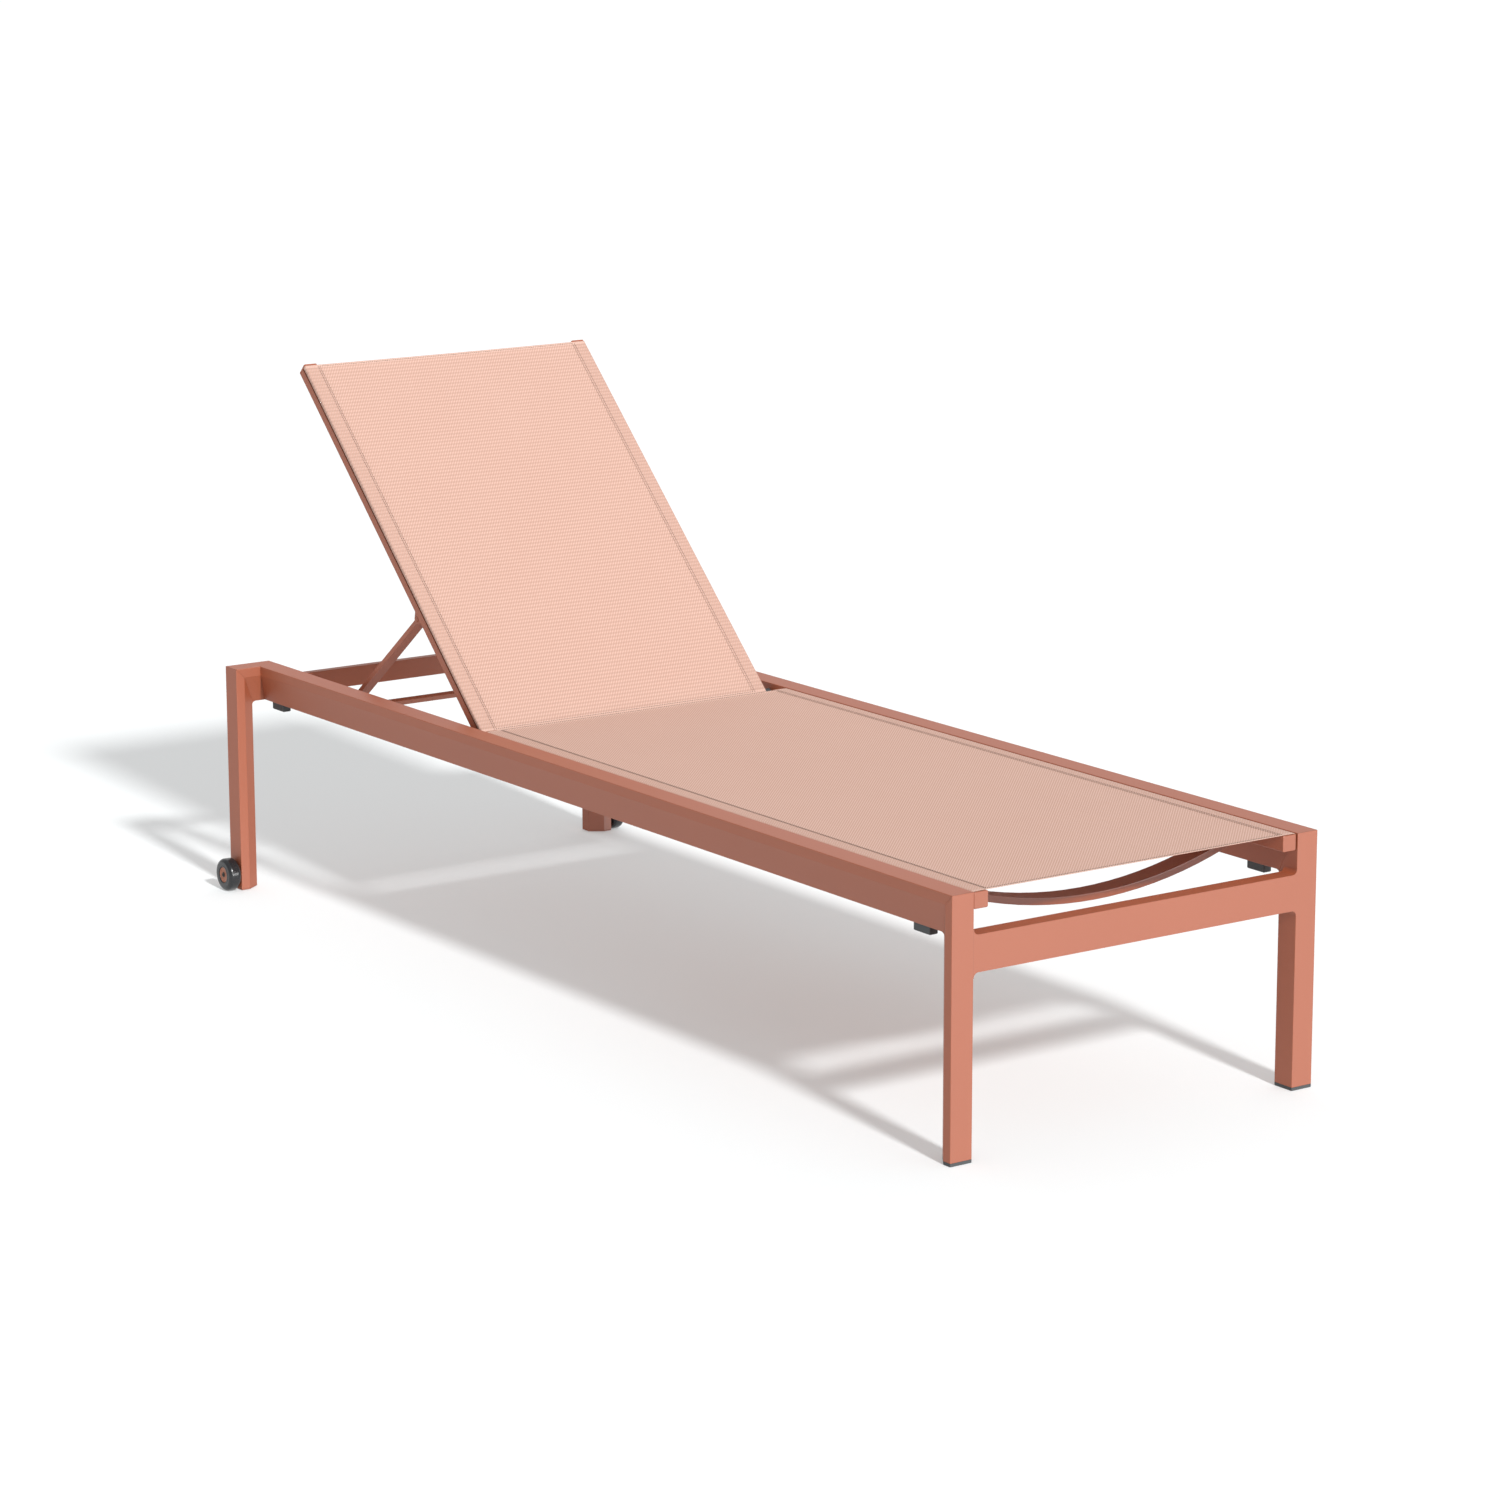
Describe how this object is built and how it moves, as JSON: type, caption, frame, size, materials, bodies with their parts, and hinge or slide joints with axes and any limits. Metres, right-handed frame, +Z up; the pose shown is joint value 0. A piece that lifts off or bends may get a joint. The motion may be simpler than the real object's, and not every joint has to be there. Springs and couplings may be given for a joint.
{
  "type": "reclining sun lounger",
  "caption": "Stackable tube-frame sun lounger with wheels at the head end, a taut mesh seat sling and a hinged mesh backrest propped by a swinging stay.",
  "frame": {"origin": "on the floor, under the middle of the bounding box at rest", "axes": "+X to the right side seen from the foot end, +Y towards the head end, +Z up"},
  "size_m": [0.781, 1.9086, 0.8757],
  "materials": {
    "terracotta_powder_coat": "satin powder coat",
    "salmon_mesh_sling": "woven coated yarn",
    "black_nylon": "moulded, matte",
    "dark_tyre": "smooth",
    "copper_hub": "satin",
    "stainless_steel": "turned"
  },
  "bodies": {
    "frame": {"rail_left": "terracotta_powder_coat", "rail_right": "terracotta_powder_coat", "foot_leg_left": "terracotta_powder_coat", "foot_leg_right": "terracotta_powder_coat", "foot_glide_left": "black_nylon", "foot_glide_right": "black_nylon", "foot_crossbar": "terracotta_powder_coat", "head_leg_left": "terracotta_powder_coat", "head_leg_right": "terracotta_powder_coat", "head_knee_left": "terracotta_powder_coat", "head_knee_right": "terracotta_powder_coat", "head_leg_plug_left": "terracotta_powder_coat", "head_leg_plug_right": "terracotta_powder_coat", "head_crossbar": "terracotta_powder_coat", "stacking_pad_foot_left": "black_nylon", "stacking_pad_foot_right": "black_nylon", "stacking_pad_head_left": "black_nylon", "stacking_pad_head_right": "black_nylon", "seat_tube_left": "terracotta_powder_coat", "seat_tube_right": "terracotta_powder_coat", "seat_tube_foot_cap_left": "terracotta_powder_coat", "seat_tube_foot_cap_right": "terracotta_powder_coat", "seat_tube_head_cap_left": "terracotta_powder_coat", "seat_tube_head_cap_right": "terracotta_powder_coat", "seat_spacer_left": "terracotta_powder_coat", "seat_spacer_right": "terracotta_powder_coat", "seat_bow_foot": "terracotta_powder_coat", "seat_bow_middle": "terracotta_powder_coat", "seat_bow_head": "terracotta_powder_coat", "seat_sling": "salmon_mesh_sling", "stay_rack_left": "terracotta_powder_coat", "stay_rack_right": "terracotta_powder_coat", "hinge_bush_left": "black_nylon", "hinge_bush_right": "black_nylon", "hinge_bolt_left": "stainless_steel", "hinge_bolt_right": "stainless_steel", "wheel_axle_left": "stainless_steel", "wheel_axle_right": "stainless_steel"},
    "backrest": {"back_tube_left": "terracotta_powder_coat", "back_tube_right": "terracotta_powder_coat", "back_tube_top_cap_left": "terracotta_powder_coat", "back_tube_top_cap_right": "terracotta_powder_coat", "back_tube_bottom_cap_left": "terracotta_powder_coat", "back_tube_bottom_cap_right": "terracotta_powder_coat", "back_bow_lower": "terracotta_powder_coat", "back_bow_upper": "terracotta_powder_coat", "back_sling": "salmon_mesh_sling", "stay_bracket_left": "terracotta_powder_coat", "stay_bracket_right": "terracotta_powder_coat", "stay_rivet_left": "stainless_steel", "stay_rivet_right": "stainless_steel"},
    "stay": {"stay_arm_left": "terracotta_powder_coat", "stay_arm_right": "terracotta_powder_coat", "stay_bar": "terracotta_powder_coat", "stay_peg_left": "black_nylon", "stay_peg_right": "black_nylon"},
    "wheel_left": {"wheel_tyre_left": "dark_tyre", "wheel_hub_left": "copper_hub"},
    "wheel_right": {"wheel_tyre_right": "dark_tyre", "wheel_hub_right": "copper_hub"}
  },
  "joints": [
    {"name": "backrest_recline", "type": "hinge", "parent": "frame", "child": "backrest", "pos_m": [0, 0.31655, 0.3575], "axis": [1, 0, 0], "range_deg": [-44, 20]},
    {"name": "stay_swing", "type": "hinge", "parent": "backrest", "child": "stay", "pos_m": [0, 0.49673, 0.51037], "axis": [1, 0, 0], "range_deg": [-36, 79]},
    {"name": "wheel_spin_left", "type": "hinge", "parent": "frame", "child": "wheel_left", "pos_m": [-0.37955, 0.92765, 0.0267], "axis": [1, 0, 0], "continuous": true},
    {"name": "wheel_spin_right", "type": "hinge", "parent": "frame", "child": "wheel_right", "pos_m": [0.37955, 0.92765, 0.0267], "axis": [1, 0, 0], "continuous": true}
  ],
  "couplings": [
    {"joint": "stay_swing", "follows": "backrest_recline", "ratio": -1.7886}
  ]
}
